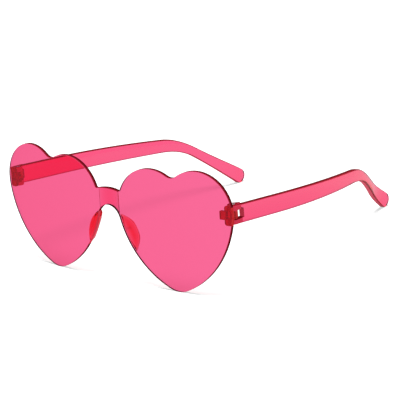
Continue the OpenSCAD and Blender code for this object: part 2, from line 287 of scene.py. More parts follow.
@dataclass(frozen=True)
class DeepEdge:
    """The edge of a tinted piece, painted as a nearly opaque colour: painted shade where light runs far
    through the piece behind it, and painted light where light comes through.

    Attributes:
        name: the material's name.
        deep: painted shade, the colour where the edge is darkest.
        lit: painted light, the colour where light comes through the piece.
        marks: cutter marks in a metre.
        gloss: share of the usual gloss.
        polish: roughness of the smoothest and the dullest places.
    """

    name: str
    deep: Colour = (0.2, 0.001, 0.004)
    lit: Colour = (0.72, 0.05, 0.09)
    marks: float = 700.0
    gloss: float = 0.002
    polish: tuple[float, float] = (0.1, 0.22)

    def wear(self, w: Wiring) -> Socket:
        """Gives the pattern of the cutter marks."""
        return w.noise(self.marks, detail=2.0)

    def lit_share(self, w: Wiring) -> Socket:
        """Gives the share of painted light at each place, by the cutter marks alone."""
        return w.spread(self.wear(w))

    def colour(self, w: Wiring) -> Socket:
        """Gives the edge's colour at each place, between the painted shade and the painted light."""
        return w.blend(self.lit_share(w), self.deep, self.lit)

    def material(self) -> bpy.types.Material:
        """Builds the edge's material.

        Returns:
            An opaque gloss of painted shade and painted light, with faint marks.
        """
        made = bpy.data.materials.new(self.name)
        w = Wiring(made)
        surface = w.node("ShaderNodeBsdfPrincipled", {
            "Base Color": self.colour(w),
            "Specular IOR Level": self.gloss,
            "Roughness": w.spread(self.wear(w), *self.polish),
        })
        w.node("ShaderNodeOutputMaterial", {"Surface": surface})
        return made


@dataclass(frozen=True)
class SheetEdge(DeepEdge):
    """The cut edge of the domed sheet, with painted light near the front face and painted shade at the back.

    Attributes:
        centre: the dome's centre.
        front_r: radius of the front face.
        back_r: radius of the back face.
        deep_share: share of the thickness, from the back, that has the darkest painted shade.
    """

    centre: Point = (0.0, 0.0, 0.0)
    front_r: float = 1.0
    back_r: float = 0.0
    deep_share: float = 0.35

    def lit_share(self, w: Wiring) -> Socket:
        """Gives the share of painted light, by the distance from the dome's centre.

        Args:
            w: the material's node tree.

        Returns:
            0 where the painted shade is darkest and 1 at the front face.
        """
        feeds = {0: w.coordinates("Object"), 1: tuple(c * MM for c in self.centre)}
        away = w.node("ShaderNodeVectorMath", feeds, operation="DISTANCE")
        deepest_r = self.back_r + self.deep_share * (self.front_r - self.back_r)
        return w.mapped(away.outputs["Value"], (deepest_r * MM, self.front_r * MM))


@dataclass(frozen=True)
class RimEdge(DeepEdge):
    """The narrow sides of a moulded arm, painted with shade that is darkest on top and with light where they
    slope or turn.

    Attributes:
        level: how far upward the side with the darkest painted shade looks.
        sloped: how far upward the side with the brightest painted light looks.
        turned: how far sideways a side looks where its painted light starts and where it is brightest.
        under: painted light on the sides that look down, as the pale ground would light them.
        downward: how far downward a side looks where it starts to take that colour and where it has it.
        rounded: how far sideways it looks where it starts to lose that colour and where it has lost it.
    """

    level: float = 1.0
    sloped: float = 0.3
    turned: tuple[float, float] = (0.3, 0.95)
    under: Colour = (0.9, 0.14, 0.2)
    downward: tuple[float, float] = (0.1, 0.6)
    rounded: tuple[float, float] = (0.35, 0.65)

    def colour(self, w: Wiring) -> Socket:
        """Gives the rim's colour, which changes to the painted ground light where the rim looks down.

        Args:
            w: the material's node tree.

        Returns:
            The colour.
        """
        down = w.mapped(w.part("Normal", "Z"), tuple(-d for d in self.downward))
        flat = w.mapped(w.math("ABSOLUTE", w.part("Normal", "X")), self.rounded[::-1])
        return w.blend(w.math("MULTIPLY", down, flat), super().colour(w), self.under)

    def lit_share(self, w: Wiring) -> Socket:
        """Gives the share of painted light, by how far the side looks away from straight up or down.

        Args:
            w: the material's node tree.

        Returns:
            0 where the painted shade is darkest and 1 where the painted light is brightest.
        """
        by_slope = w.mapped(w.math("ABSOLUTE", w.part("Normal", "Z")), (self.level, self.sloped))
        by_turn = w.mapped(w.math("ABSOLUTE", w.part("Normal", "X")), self.turned)
        return w.math("MAXIMUM", by_slope, by_turn)


@dataclass(frozen=True)
class TurnedSteel:
    """The bright steel of a small turned screw.

    Attributes:
        slot: the record's material slot.
        bright: colour of the clean metal.
        dull: colour in the tool marks.
        marks: tool marks in a metre.
        polish: roughness of the smoothest and the dullest places.
        relief: height of the tool marks.
        relief_share: how much of that height shows.
    """

    slot: str
    bright: Colour = (0.78, 0.78, 0.79)
    dull: Colour = (0.55, 0.55, 0.57)
    marks: float = 9000.0
    polish: tuple[float, float] = (0.15, 0.35)
    relief: float = 0.01
    relief_share: float = 0.4

    def material(self) -> bpy.types.Material:
        """Builds the steel's material.

        Returns:
            Metal with fine turned marks in its colour, roughness and surface.
        """
        made = bpy.data.materials.new(self.slot)
        w = Wiring(made)
        marks = w.noise(self.marks, detail=2.0)
        surface = w.node("ShaderNodeBsdfPrincipled", {
            "Metallic": 1.0,
            "Base Color": w.blend(w.spread(marks), self.bright, self.dull),
            "Roughness": w.spread(marks, *self.polish),
            "Normal": w.bumps(marks, self.relief, self.relief_share),
        })
        w.node("ShaderNodeOutputMaterial", {"Surface": surface})
        return made


@dataclass
class Skin:
    """The faces of one piece, laid row by row and welded where rows meet.

    Attributes:
        points: x, y and z of each point.
        faces: the numbers of each face's points.
    """

    points: list[Point] = field(default_factory=list)
    faces: list[tuple[int, ...]] = field(default_factory=list)

    def add(self, rows: np.ndarray) -> np.ndarray:
        """Adds points.

        Args:
            rows: an array of points, of any shape, whose last axis is x, y, z.

        Returns:
            The points' numbers, in the same shape.
        """
        first = len(self.points)
        self.points += [tuple(p) for p in rows.reshape(-1, 3)]
        return first + np.arange(rows.size // 3).reshape(rows.shape[:-1])

    def grid(self, rows: np.ndarray, closed: bool = False) -> None:
        """Lays quads between rows of points.

        Args:
            rows: an array of rows, points and coordinates.
            closed: True where each row runs round to its first point.
        """
        n = self.add(np.asarray(rows, float))
        if closed:
            n = np.concatenate([n, n[:, :1]], axis=1)
        corners = np.stack([n[:-1, :-1], n[:-1, 1:], n[1:, 1:], n[1:, :-1]], axis=-1)
        self.faces += [tuple(c) for c in corners.reshape(-1, 4)]

    def fan(self, ring: np.ndarray, apex: np.ndarray) -> None:
        """Lays triangles from a ring to a point.

        Args:
            ring: the ring's points.
            apex: the point.
        """
        n = self.add(np.asarray(ring, float))
        top = int(self.add(apex[None])[0])
        self.faces += [(int(a), int(b), top) for a, b in zip(n, np.roll(n, -1))]

    def cap(self, ring: np.ndarray) -> None:
        """Closes a flat ring with one face."""
        self.faces.append(tuple(int(i) for i in self.add(np.asarray(ring, float))))

    def tube(self, rings: Iterable) -> None:
        """Lays a closed solid through rings of points, with a flat face at each end.

        Args:
            rings: rings, points and coordinates.
        """
        rows = np.array(rings, float)
        self.grid(rows, closed=True)
        self.cap(rows[0])
        self.cap(rows[-1])

    def bake(self, name: str, also_mirrored: bool = False) -> bpy.types.Object:
        """Welds the faces into an object.

        Args:
            name: the object's name.
            also_mirrored: True where the faces are the half with x above zero.

        Returns:
            The object, in metres, with its faces turned outward.
        """
        mesh = bpy.data.meshes.new(name)
        mesh.from_pydata([[c * MM for c in p] for p in self.points], [], self.faces)
        work = bmesh.new()
        work.from_mesh(mesh)
        if also_mirrored:
            kept = work.verts[:] + work.edges[:] + work.faces[:]
            twin = bmesh.ops.duplicate(work, geom=kept)["geom"]
            for v in twin:
                if isinstance(v, bmesh.types.BMVert):
                    v.co.x = -v.co.x
        bmesh.ops.remove_doubles(work, verts=work.verts, dist=WELD * MM)
        bmesh.ops.dissolve_degenerate(work, edges=work.edges, dist=SLIVER * MM)
        bmesh.ops.recalc_face_normals(work, faces=work.faces)
        work.to_mesh(mesh)
        work.free()
        made = bpy.data.objects.new(name, mesh)
        bpy.context.scene.collection.objects.link(made)
        return made


class Workshop:
    """Steps that work on whole objects."""

    @staticmethod
    def boolean(body: bpy.types.Object, tool: bpy.types.Object, how: Cut) -> None:
        """Joins a tool to a body or cuts it from the body, and deletes the tool.

        Args:
            body: the object that changes.
            tool: the object that is used up.
            how: whether the tool is joined or removed.
        """
        step = body.modifiers.new(how.value, "BOOLEAN")
        step.operation = how.value
        step.solver = "EXACT"
        step.object = tool
        bpy.context.view_layer.update()
        shaped = body.evaluated_get(bpy.context.evaluated_depsgraph_get())
        mesh = bpy.data.meshes.new_from_object(shaped)
        body.modifiers.clear()
        old, body.data = body.data, mesh
        bpy.data.meshes.remove(old)
        used = tool.data
        bpy.data.objects.remove(tool)
        bpy.data.meshes.remove(used)

    @staticmethod
    def dress(piece: bpy.types.Object, looks: dict[Area, bpy.types.Material], area_of: Callable) -> None:
        """Gives each area of a piece its material.

        Args:
            piece: the object.
            looks: the material of each area.
            area_of: gives the area that a face belongs to.
        """
        areas = list(looks)
        for look in looks.values():
            piece.data.materials.append(look)
        for face in piece.data.polygons:
            face.material_index = areas.index(area_of(face))

    @staticmethod
    def on_side(piece: bpy.types.Object, side: Side) -> bpy.types.Object:
        """Puts a piece on its side of the wearer.

        Args:
            piece: the piece as it is on the left.
            side: its side.

        Returns:
            The piece, mirrored where its side is the right one.
        """
        if side is Side.RIGHT:
            piece.data.transform(Matrix.Scale(side.value, 4, Vector((1, 0, 0))))
            piece.data.flip_normals()
        return piece

    @staticmethod
    def finish(piece: bpy.types.Object, look: bpy.types.Material, node: str, body: str, slot: str) -> None:
        """Smooths a piece, dresses it where it is bare and puts it in its CAD node's place.

        Args:
            piece: the new piece.
            look: its material.
            node: the CAD node that it replaces.
            body: the CAD body that it rides on.
            slot: the record's material slot; not used.
        """
        piece.data.shade_smooth()
        piece.data.set_sharp_from_angle(angle=SHARP_ANGLE)
        if not piece.data.materials:
            piece.data.materials.append(look)
        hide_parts(node)
        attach(piece, body)
        piece.visible_diffuse = False
        log.info("%s: %d faces, on body %s", piece.name, len(piece.data.polygons), body)


def circle_touching(a: np.ndarray, ra: float, b: np.ndarray, rb: float, side: int) -> np.ndarray:
    """Finds a circle's centre from its distances to two points.

    Args:
        a: the first point.
        ra: the distance from the first point.
        b: the second point.
        rb: the distance from the second point.
        side: 1 for left of the way from a to b, -1 for right.

    Returns:
        The centre.
    """
    span = float(np.linalg.norm(b - a))
    along = (b - a) / span
    x = (ra * ra - rb * rb + span * span) / (2 * span)
    return a + along * x + side * sqrt(ra * ra - x * x) * np.array([-along[1], along[0]])


def arc(
    centre: np.ndarray, r: float, start: np.ndarray, end: np.ndarray, way: int, step: float
) -> np.ndarray:
    """Samples an arc of an outline.

    Args:
        centre: the arc's centre.
        r: its radius.
        start: the direction from the centre to its first point.
        end: the direction from the centre to its last point.
        way: 1 for anticlockwise, which is a hollow stretch of the outline, and -1 for clockwise, a round one.
        step: the longest distance between two samples.

    Returns:
        Rows of x, z and the outward normal's x and z.
    """
    a = atan2(start[1], start[0])
    sweep = (way * (atan2(end[1], end[0]) - a)) % (2 * pi)
    count = max(LEAST_STEPS, ceil(r * sweep / step))
    t = a + way * sweep * np.arange(count + 1) / count
    out = np.stack([np.cos(t), np.sin(t)], axis=1)
    return np.concatenate([centre + r * out, -way * out], axis=1)


def round_rect(centre: tuple[float, float], w: float, h: float, r: float, step: float = 0.12) -> np.ndarray:
    """Samples the outline of a rectangle with round corners.

    Args:
        centre: its middle.
        w: its width.
        h: its height.
        r: the radius of its corners.
        step: the longest distance between two samples of a corner.

    Returns:
        Rows of x, z and the outward normal's x and z.
    """
    parts = []
    ways = [np.array(v, float) for v in ((1, 0), (0, 1), (-1, 0), (0, -1), (1, 0))]
    for k, (sx, sz) in enumerate(((1, 1), (-1, 1), (-1, -1), (1, -1))):
        corner = np.array([centre[0] + sx * (w / 2 - r), centre[1] + sz * (h / 2 - r)])
        part = arc(corner, r, ways[k], ways[k + 1], 1, step)
        part[:, 2:] *= -1
        parts.append(part)
    return np.concatenate(parts)


def stand(flat: np.ndarray, y: np.ndarray) -> np.ndarray:
    """Gives points of x, y and z from rows of x and z and their depths."""
    return np.stack([flat[:, 0], y, flat[:, 1]], axis=1)


def lay_on(flat: np.ndarray, face: Depth) -> np.ndarray:
    """Gives points of x, y and z from rows of x and z that lie on a face."""
    return stand(flat, face(flat[:, 0], flat[:, 1]))


def rounding(outline: np.ndarray, inward: np.ndarray, face: Depth, sign: int, edge_r: float) -> np.ndarray:
    """Lays the rows of a rounded edge between a face and the wall.

    Args:
        outline: the outline's x and z.
        inward: the way from the outline to the face's border, for an edge radius of 1.
        face: gives the face's depth.
        sign: 1 where the wall lies behind the face, -1 where it lies in front.
        edge_r: the edge's radius.

    Returns:
        Rows from the face's border to the wall.
    """
    rows = []
    for t in QUARTER:
        flat = outline + inward * edge_r * (1 - sin(t))
        rows.append(stand(flat, face(flat[:, 0], flat[:, 1]) + sign * edge_r * (1 - cos(t))))
    return np.array(rows)


def wall(outline: np.ndarray, inward: np.ndarray, near: Depth, far: Depth, edge_r: float) -> np.ndarray:
    """Lays the rows of a wall with two rounded edges.

    Args:
        outline: the outline's x and z.
        inward: the way from the outline to a face's border, for an edge radius of 1.
        near: gives the front face's depth.
        far: gives the back face's depth.
        edge_r: the radius of both edges.

    Returns:
        Rows from the front face's border to the back face's.
    """
    front, back = (rounding(outline, inward, f, s, edge_r) for f, s in ((near, 1), (far, -1)))
    return np.concatenate([front, back[::-1]])


def plate(outline: np.ndarray, near: Depth, far: Depth, edge_r: float) -> Skin:
    """Lays a flat plate with rounded edges, whose outline is seen from the back.

    Args:
        outline: rows of x, z and the outward normal's x and z, all the way round.
        near: gives the front face's depth.
        far: gives the back face's depth.
        edge_r: the radius of its edges.

    Returns:
        The closed plate.
    """
    skin = Skin()
    skin.tube(wall(outline[:, :2], -outline[:, 2:], near, far, edge_r))
    return skin


def level_face(y: float) -> Depth:
    """Gives a face that lies at one depth everywhere."""
    return lambda x, z: np.full(np.shape(x), y)


def turned(axis: tuple[float, float], profile: Profile, sides: int) -> Skin:
    """Lays a turned solid about an upright axis.

    Args:
        axis: the axis's x and y.
        profile: radius, or the radius at each side, and height, from the bottom to the top.
        sides: points in a turn.

    Returns:
        The closed solid.
    """
    t = 2 * pi * np.arange(sides) / sides
    skin = Skin()
    skin.tube([
        np.stack([axis[0] + r * np.cos(t), axis[1] + r * np.sin(t), np.full(sides, z)], axis=1)
        for r, z in profile
    ])
    return skin


def block(low: Point, high: Point) -> Skin:
    """Lays a block between its lowest and its highest corner.

    Args:
        low: the lowest corner.
        high: the highest corner.

    Returns:
        The closed block.
    """
    (x0, y0, z0), (x1, y1, z1) = low, high
    skin = Skin()
    skin.tube([[(x0, y0, z), (x1, y0, z), (x1, y1, z), (x0, y1, z)] for z in (z0, z1)])
    return skin


@dataclass
class LensShield:
    """The one-piece front: two hearts and a bridge, cut from a domed sheet.

    Attributes:
        front_w: width over both hearts.
        sheet_t: thickness of the sheet.
        dome_r: radius of the domed front face.
        dome_z: height of the dome's centre.
        heart_gap: distance between the inner lobes of the two hearts.
        outer_lobe_r: radius of a heart's outer lobe.
        outer_lobe_top: height of its top.
        inner_lobe_r: radius of the inner lobe.
        inner_lobe_top: height of its top.
        tip_r: radius of the tip, whose lowest point is at zero height.
        tip_x: the tip's distance from the middle of the front.
        outer_flank_r: radius of the edge from the outer lobe to the tip.
        inner_flank_r: radius of the edge from the inner lobe to the tip.
        notch_r: radius of the hollow between the lobes.
        bridge_top: height of the bridge's top in the middle.
        bridge_arch_r: radius of the bridge's top.
        bridge_corner_r: radius of the hollow where the top meets a heart.
        nose_arch_z: height of the centre of the arch over the nose.
        core_w: width of the bridge's thick core.
        core_t: how far the core stands out behind the sheet in the middle.
        core_side_t: how far it stands out at its sides.
        edge_r: radius of the rounded edges.
        sample: longest distance between two points of the outline.
        rings: rings of faces from a heart's border to its star point.
        core_rows: rows of faces up the core.
        core_columns: columns of faces from the core's middle to its side.
        border: width of the narrow first ring inside the edge.
        middle_y: depth of the front face in the middle.
        star: x and z of the point in a heart that its rings close on.
        wall_turn: how far forward or back a face looks where it counts as a face of the sheet.
        core_dark_z: height below which the edge beside the core gets no painted light.
        pad_x: distance from the middle within which the edge lies at a nose pad and may get painted light.
        pad_z: height of the pad's middle.
        pad_reach: how far above and below it the pad lies at the edge.
        block_reach: distance from the outer edge within which the edge lies at an end piece, where the left
            one gets painted light.
        block_z: height of the end piece's middle.
        block_half_h: half the end piece's height.
    """

    front_w: float = 142.0
    sheet_t: float = 1.8
    dome_r: float = 450.0
    dome_z: float = 21.5
    heart_gap: float = 12.3
    outer_lobe_r: float = 18.8
    outer_lobe_top: float = 59.097
    inner_lobe_r: float = 20.2
    inner_lobe_top: float = 57.5
    tip_r: float = 12.0
    tip_x: float = 38.6
    outer_flank_r: float = 47.5
    inner_flank_r: float = 48.0
    notch_r: float = 5.2
    bridge_top: float = 45.2
    bridge_arch_r: float = 32.5
    bridge_corner_r: float = 0.9
    nose_arch_z: float = 30.0
    core_w: float = 12.0
    core_t: float = 0.9
    core_side_t: float = 0.4
    edge_r: float = 0.18
    sample: float = 0.8
    rings: int = 26
    core_rows: int = 12
    core_columns: int = 8
    border: float = 0.08
    middle_y: float = 0.0
    star: tuple[float, float] = (36.0, 38.0)
    wall_turn: float = 0.9
    core_dark_z: float = 37.6
    pad_x: float = 17.0
    pad_z: float = 24.4
    pad_reach: float = 8.8
    block_reach: float = 6.0
    block_z: float = 39.8
    block_half_h: float = 4.6

    def __post_init__(self) -> None:
        """Works out the centres of the outline's circles."""
        outer_r, inner_r = self.outer_lobe_r, self.inner_lobe_r
        self.outer_lobe = np.array([self.front_w / 2 - outer_r, self.outer_lobe_top - outer_r])
        self.inner_lobe = np.array([self.heart_gap / 2 + inner_r, self.inner_lobe_top - inner_r])
        self.tip = np.array([self.tip_x, self.tip_r])
        self.nose_arch = np.array([0.0, self.nose_arch_z])
        self.nose_arch_r = float(np.linalg.norm(self.inner_lobe - self.nose_arch)) - inner_r
        self.bridge_arch = np.array([0.0, self.bridge_top - self.bridge_arch_r])
        self.outer_flank = circle_touching(
            self.outer_lobe, self.outer_flank_r - outer_r, self.tip, self.outer_flank_r - self.tip_r, -1
        )
        self.inner_flank = circle_touching(
            self.inner_lobe, self.inner_flank_r - inner_r, self.tip, self.inner_flank_r - self.tip_r, 1
        )
        self.notch = circle_touching(
            self.inner_lobe, self.notch_r + inner_r, self.outer_lobe, self.notch_r + outer_r, 1
        )
        arch_reach = self.bridge_corner_r + self.bridge_arch_r
        self.corner = circle_touching(
            self.inner_lobe, self.bridge_corner_r + inner_r, self.bridge_arch, arch_reach, -1
        )

    def front(self, x: np.ndarray, z: np.ndarray, inset: float = 0.0) -> np.ndarray:
        """Finds the depth of the domed face, or of one that lies inset behind it."""
        reach = np.hypot(x, z - self.dome_z)
        return self.dome_r - np.sqrt((self.dome_r - inset) ** 2 - reach**2) + self.middle_y

    def back(self, x: np.ndarray, z: np.ndarray) -> np.ndarray:
        """Finds the depth of the sheet's back."""
        return self.front(x, z, self.sheet_t)

    def core_back(self, x: np.ndarray, z: np.ndarray) -> np.ndarray:
        """Finds the depth of the rounded back of the bridge's thick core.

        Args:
            x: places across.
            z: heights.

        Returns:
            The depths.
        """
        mid_z = (self.bridge_top + self.nose_arch_z + self.nose_arch_r) / 2
        rise = self.core_t - self.core_side_t
        core_r = ((self.core_w / 2) ** 2 + rise**2) / (2 * rise)
        nod = asin((mid_z - self.dome_z) / (self.dome_r - self.sheet_t))
        sunk = core_r - np.sqrt(core_r**2 - x**2)
        return self.back(0.0, mid_z) + self.core_t + ((z - mid_z) * sin(nod) - sunk) / cos(nod)

    def heart(self) -> np.ndarray:
        """Samples the heart's outline, from the top of the bridge's core round to the nose arch.

        Two arcs that bend opposite ways meet between their centres. Two that bend the same way meet beyond
        the smaller one's centre, as seen from the larger one's.

        Returns:
            Rows of x, z and the outward normal's x and z.
        """
        half = self.core_w / 2
        start = np.array([half, sqrt(self.bridge_arch_r**2 - half**2)])
        last = np.array([half, sqrt(self.nose_arch_r**2 - half**2)])
        chain = [
            (self.bridge_arch, self.bridge_arch_r, -1),
            (self.corner, self.bridge_corner_r, 1),
            (self.inner_lobe, self.inner_lobe_r, -1),
            (self.notch, self.notch_r, 1),
            (self.outer_lobe, self.outer_lobe_r, -1),
            (self.outer_flank, self.outer_flank_r, -1),
            (self.tip, self.tip_r, -1),
            (self.inner_flank, self.inner_flank_r, -1),
            (self.inner_lobe, self.inner_lobe_r, -1),
            (self.nose_arch, self.nose_arch_r, 1),
        ]
        parts = []
        for (at, r, way), (following, following_r, following_way) in zip(chain, chain[1:]):
            same = way == following_way
            end = at - following if same and r < following_r else following - at
            parts.append(arc(at, r, start, end, way, self.sample))
            start = end if same else -end
        parts.append(arc(*chain[-1][:2], start, last, chain[-1][2], self.sample))
        return np.concatenate([parts[0]] + [p[1:] for p in parts[1:]])

    def area_of(self, face: bpy.types.MeshPolygon) -> Area:
        """Tells which area a face of the front belongs to.

        Args:
            face: the face.

        Returns:
            Its area.
        """
        x, z = abs(face.center.x) / MM, face.center.z / MM
        if abs(face.normal.y) > self.wall_turn:
            return Area.CLEAR
        to_left, sideways = face.normal.x > 0, abs(face.normal.x) > abs(face.normal.z)
        # Painted light: the left outer edge in front of the end piece is painted red, as if lit through the
        # end piece.
        if to_left and x > self.front_w / 2 - self.block_reach and abs(z - self.block_z) < self.block_half_h:
            return Area.BACKED
        # Painted light: the edge beside the core, and the right pad's edge that faces the wearer's left and
        # the lamp, are painted pale pink.
        at_core = x < self.core_w / 2 + self.border and z > self.core_dark_z
        at_pad = x < self.pad_x and abs(z - self.pad_z) < self.pad_reach and to_left
        return Area.BONDED if sideways and (at_core or at_pad) else Area.CUT

    def lay_heart(self, skin: Skin, loop: np.ndarray, step_in: np.ndarray) -> None:
        """Lays a heart's front and back face in rings.

        Args:
            skin: where the faces go.
            loop: x and z all round the faces' border.
            step_in: the way inward at each of these points.
        """
        bordered = loop + step_in * self.border
        star = np.array(self.star)
        shares = [1 - k / self.rings for k in range(1, self.rings)]
        flat = [loop, bordered, *(star + (bordered - star) * share for share in shares)]
        for face in (self.front, self.back):
            rows = np.array([lay_on(ring, face) for ring in flat])
            skin.grid(rows, closed=True)
            skin.fan(rows[-1], lay_on(star[None], face)[0])

    def lay_core(self, skin: Skin, shares: np.ndarray) -> None:
        """Lays the bridge's thick core, from its middle to its side.

        Args:
            skin: where the faces go.
            shares: how far up the core each row lies.
        """
        x = self.core_w / 2 * np.arange(self.core_columns + 1) / self.core_columns
        top = self.bridge_arch[1] + np.sqrt(self.bridge_arch_r**2 - x**2)
        arch = self.nose_arch_z + np.sqrt(self.nose_arch_r**2 - x**2)
        top_in = -self.bridge_arch_r / np.sqrt(self.bridge_arch_r**2 - x**2)
        arch_in = self.nose_arch_r / np.sqrt(self.nose_arch_r**2 - x**2)
        low, high = arch + arch_in * self.edge_r, top + top_in * self.edge_r
        z = low[None] + (high - low)[None] * shares[:, None]
        for face in (self.front, self.core_back):
            skin.grid(np.stack([np.tile(x, (len(shares), 1)), face(x[None], z), z], axis=-1))
        for edge, way in ((top, top_in), (arch, arch_in)):
            outline, inset = np.stack([x, edge], axis=1), np.stack([np.zeros(len(x)), way], axis=1)
            rows = wall(outline, inset, self.front, self.core_back, self.edge_r)
            level = stand(outline, self.back(x, edge) - self.edge_r)
            skin.grid(np.insert(rows, len(QUARTER), level, axis=0))

    def build(self) -> bpy.types.Object:
        """Builds the front.

        Returns:
            One closed mesh: domed faces in rings round each heart, rounded edges and the bridge's thick core.
        """
        skin = Skin()
        rim = self.heart()
        line, inward = rim[:, :2], -rim[:, 2:]
        for end, way in ((0, -1), (-1, 1)):
            inward[end] = (0.0, way / abs(inward[end, 1]))
        low = line[-1] + inward[-1] * self.edge_r
        high = line[0] + inward[0] * self.edge_r
        rise = high[1] - low[1]
        inner = np.arange(1, self.core_rows) / self.core_rows
        shares = np.concatenate([[0, self.border / rise], inner, [1 - self.border / rise, 1]])
        seam = np.stack([np.full(len(shares), self.core_w / 2), low[1] + rise * shares], axis=1)
        step_in = np.concatenate([-rim[:, 2:], np.tile([1.0, 0.0], (len(seam) - 2, 1))])
        step_in[0] = (1.0, -1.0)
        step_in[len(line) - 1] = (1.0, 1.0)
        self.lay_heart(skin, np.concatenate([line + inward * self.edge_r, seam[1:-1]]), step_in)
        skin.grid(wall(line, inward, self.front, self.back, self.edge_r))
        self.lay_core(skin, shares)
        steps = []
        for face in (self.back, self.core_back):
            foot = rounding(line[[-1]], inward[[-1]], face, -1, self.edge_r)[::-1, 0]
            head = rounding(line[[0]], inward[[0]], face, -1, self.edge_r)[:, 0]
            steps.append(np.concatenate([foot, lay_on(seam, face)[1:-1], head]))
        skin.grid(np.array(steps))
        return skin.bake("lens_front", also_mirrored=True)

    def dress(self, front: bpy.types.Object, sheet: bpy.types.Material) -> None:
        """Gives the front its clear faces and its edges of painted shade and painted light.

        Args:
            front: the front.
            sheet: the material of the clear faces.
        """
        # Painted shade and light: the sheet's cut edge is an opaque dark red, lighter towards the front face.
        cut = SheetEdge(
            "cut_edge",
            deep=(0.1, 0.0, 0.001),
            lit=(0.45, 0.02, 0.04),
            centre=(0.0, self.middle_y + self.dome_r, self.dome_z),
            front_r=self.dome_r,
            back_r=self.dome_r - self.sheet_t,
        )
        # Painted light: a pale pink for the edge beside the core and at the right pad.
        bonded = DeepEdge("bonded_edge", deep=(1.0, 0.045, 0.08), lit=(1.0, 0.08, 0.14), gloss=0.0)
        # Painted light: a red for the edge in front of the left end piece.
        backed = DeepEdge("backed_edge", deep=(0.75, 0.02, 0.03), lit=(1.0, 0.06, 0.07))
        edges = {Area.CUT: cut, Area.BONDED: bonded, Area.BACKED: backed}
        looks = {Area.CLEAR: sheet, **{area: edge.material() for area, edge in edges.items()}}
        Workshop.dress(front, looks, self.area_of)


@dataclass
class NosePad:
    """A fin on the back of the sheet beside the nose, with a rounded rim.

    Attributes:
        shield: the front that it is bonded to.
        length: its length along the heart's edge.
        depth: how far it stands back in the middle.
        root_w: width of its foot in the middle.
        end_w: width of its foot at the ends.
        rim_w: width of its rim in the middle.
        spread: how far its nose side leans away from the nose, in degrees.
        height: height of its middle.
        margin: distance from the sheet's edge to its nose side.
        bond: gap to the sheet.
        rim_r: radius of the rim's rounded edges.
        stations: sections along its length, less one.
        side_points: points up each side of a section.
        least: least width and depth, at the ends.
        trials: places tried in finding where its foot tapers off.
    """

    shield: LensShield
    length: float = 20.0
    depth: float = 4.4
    root_w: float = 4.2
    end_w: float = 0.8
    rim_w: float = 1.5
    spread: float = 27.0
    height: float = 24.4
    margin: float = 0.3
    bond: float = 0.03
    rim_r: float = 0.6
    stations: int = 80
    side_points: int = 12
    least: float = 0.05
    trials: int = 1001

    def edge(self, u: np.ndarray) -> np.ndarray:
        """Gives how far the pad's nose side lies in from its own plane, to follow the heart's flank."""
        r = self.shield.inner_flank_r
        return self.margin + r - np.sqrt(r**2 - u**2)

    def foot(self, u: np.ndarray) -> np.ndarray:
        """Gives how far the pad's round foot reaches from the nose side.

        Args:
            u: distances from the pad's middle.

        Returns:
            The reach at each.
        """
        taper = self.root_w - self.end_w
        r = ((self.length / 2) ** 2 + taper**2) / (2 * taper)
        return self.root_w - r + np.sqrt(r**2 - u**2)

    def ring(self, u: float) -> list[tuple[float, float]]:
        """Gives the pad's section at a place along its length.

        Args:
            u: distance from the pad's middle.

        Returns:
            Points of width and depth, up the nose side, over the rim and down the other side.
        """
        lean = self.depth * tan(radians(self.spread))
        round_r = ((self.length / 2) ** 2 + self.depth**2) / (2 * self.depth)
        deep = max(self.least, sqrt(round_r**2 - u * u) - (round_r - self.depth))
        edge, foot = float(self.edge(u)), float(self.foot(u))

        def inner(d: float) -> float:
            """Gives the nose side's place at a depth."""
            return min(max(lean * d / self.depth, edge), foot - self.least)

        def outer(d: float) -> float:
            """Gives the far side's place at a depth."""
            return min(self.root_w + (lean + self.rim_w - self.root_w) * d / self.depth, foot)

        r = min(self.rim_r, deep / 2, (outer(deep) - inner(deep)) / 2)
        shoulder = deep - r
        ring = [(inner(d), d) for d in np.linspace(0, shoulder, self.side_points)]
        for t in FINE_QUARTER:
            d = shoulder + r * sin(t)
            ring.append((inner(d) + r * (1 - cos(t)), d))
        for t in FINE_QUARTER - FINE_QUARTER[0]:
            d = shoulder + r * cos(t)
            ring.append((outer(d) - r * (1 - sin(t)), d))
        return ring + [(outer(d), d) for d in np.linspace(shoulder, 0, self.side_points)]

    def build(self, side: Side) -> bpy.types.Object:
        """Builds one pad.

        Args:
            side: the wearer's side.

        Returns:
            A closed mesh.
        """
        s = self.shield
        centre = s.inner_flank
        mid = np.array([centre[0] - sqrt(s.inner_flank_r**2 - (self.height - centre[1]) ** 2), self.height])
        inward = (centre - mid) / s.inner_flank_r
        upward = np.array([-inward[1], inward[0]])
        root_y = float(s.back(mid[0], mid[1]))
        spots = np.linspace(0, self.length / 2, self.trials)
        reach = float(spots[self.foot(spots) - self.edge(spots) > 2 * self.least].max())
        rings = []
        for k in range(self.stations + 1):
            u = -reach * cos(pi * k / self.stations)
            ring = []
            for a, d in self.ring(u):
                flat = mid + inward * a + upward * u
                ring.append((flat[0], max(root_y + d, float(s.back(flat[0], flat[1])) + self.bond), flat[1]))
            rings.append(ring)
        skin = Skin()
        skin.tube(rings)
        return Workshop.on_side(skin.bake(f"pad_{side.word}"), side)


